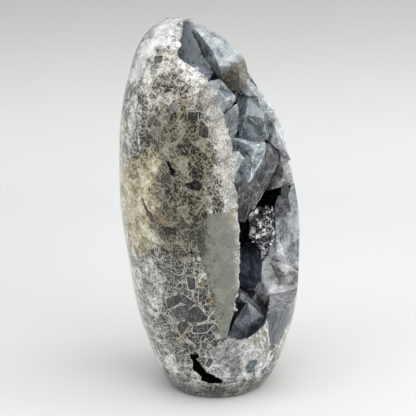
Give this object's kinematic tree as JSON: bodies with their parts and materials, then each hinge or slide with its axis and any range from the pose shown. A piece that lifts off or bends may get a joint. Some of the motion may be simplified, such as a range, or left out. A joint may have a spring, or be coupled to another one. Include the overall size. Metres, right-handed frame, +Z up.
{
  "type": "celestite geode",
  "caption": "Standing polished celestite geode with a natural open mouth full of blue-grey crystals, resting on a small flat base.",
  "frame": {"origin": "centre of the flat face that the stone rests on", "axes": "+Z up, from the resting face to the apex; -Y out of the mouth; +X to the right of someone who looks into the mouth from the front"},
  "size_m": [0.0988, 0.0958, 0.199],
  "materials": {
    "polished_stone": "polished, glossy, grey and tan crystalline rock with white cleavage lines and brown spots",
    "slate_celestite": "natural crystal faces, glossy, slate blue, lets some light through",
    "blue_grey_celestite": "natural crystal faces, glossy, blue grey, lets some light through",
    "lavender_celestite": "natural crystal faces, glossy, pale lavender blue, lets light through",
    "pale_celestite": "natural crystal faces, satin, milky and pale",
    "clear_celestite": "natural crystal faces, glossy, nearly clear",
    "navy_celestite": "natural crystal faces, glossy, clear dark navy"
  },
  "bodies": {
    "root": {"polished_rind": "polished_stone", "pale_clay_tipped_block": "lavender_celestite", "slate_blade": "slate_celestite", "pale_blue_knob": "blue_grey_celestite", "long_crossing_prism": "slate_celestite", "large_blue_grey_block": "slate_celestite", "outer_sloping_crystal": "pale_celestite", "upper_right_facets": "pale_celestite", "hanging_lavender_prism": "lavender_celestite", "clear_rim_crystal": "clear_celestite", "pale_clear_block": "clear_celestite", "grey_blue_right_crystal": "blue_grey_celestite", "right_outline_cluster": "pale_celestite", "lower_right_cluster": "pale_celestite", "clear_slanting_prism": "clear_celestite", "upright_navy_prism": "navy_celestite", "slate_floor_crystal": "slate_celestite", "wall_crystal_1_1": "blue_grey_celestite", "wall_crystal_1_2": "slate_celestite", "wall_crystal_1_3": "lavender_celestite", "wall_crystal_1_4": "blue_grey_celestite", "wall_crystal_2_1": "pale_celestite", "wall_crystal_2_2": "blue_grey_celestite", "wall_crystal_2_3": "slate_celestite", "wall_crystal_2_4": "lavender_celestite", "wall_crystal_3_1": "blue_grey_celestite", "wall_crystal_3_2": "pale_celestite", "wall_crystal_3_3": "blue_grey_celestite", "wall_crystal_3_4": "slate_celestite", "wall_crystal_4_1": "lavender_celestite", "wall_crystal_4_2": "blue_grey_celestite", "wall_crystal_4_3": "pale_celestite", "wall_crystal_4_4": "blue_grey_celestite", "wall_crystal_5_1": "slate_celestite", "wall_crystal_5_2": "lavender_celestite", "wall_crystal_5_3": "blue_grey_celestite", "wall_crystal_5_4": "pale_celestite", "wall_crystal_6_1": "blue_grey_celestite", "wall_crystal_6_2": "slate_celestite", "wall_crystal_6_3": "lavender_celestite", "wall_crystal_6_4": "blue_grey_celestite", "wall_crystal_7_1": "pale_celestite", "wall_crystal_7_2": "blue_grey_celestite", "wall_crystal_7_3": "slate_celestite", "wall_crystal_7_4": "lavender_celestite"}
  },
  "joints": []
}
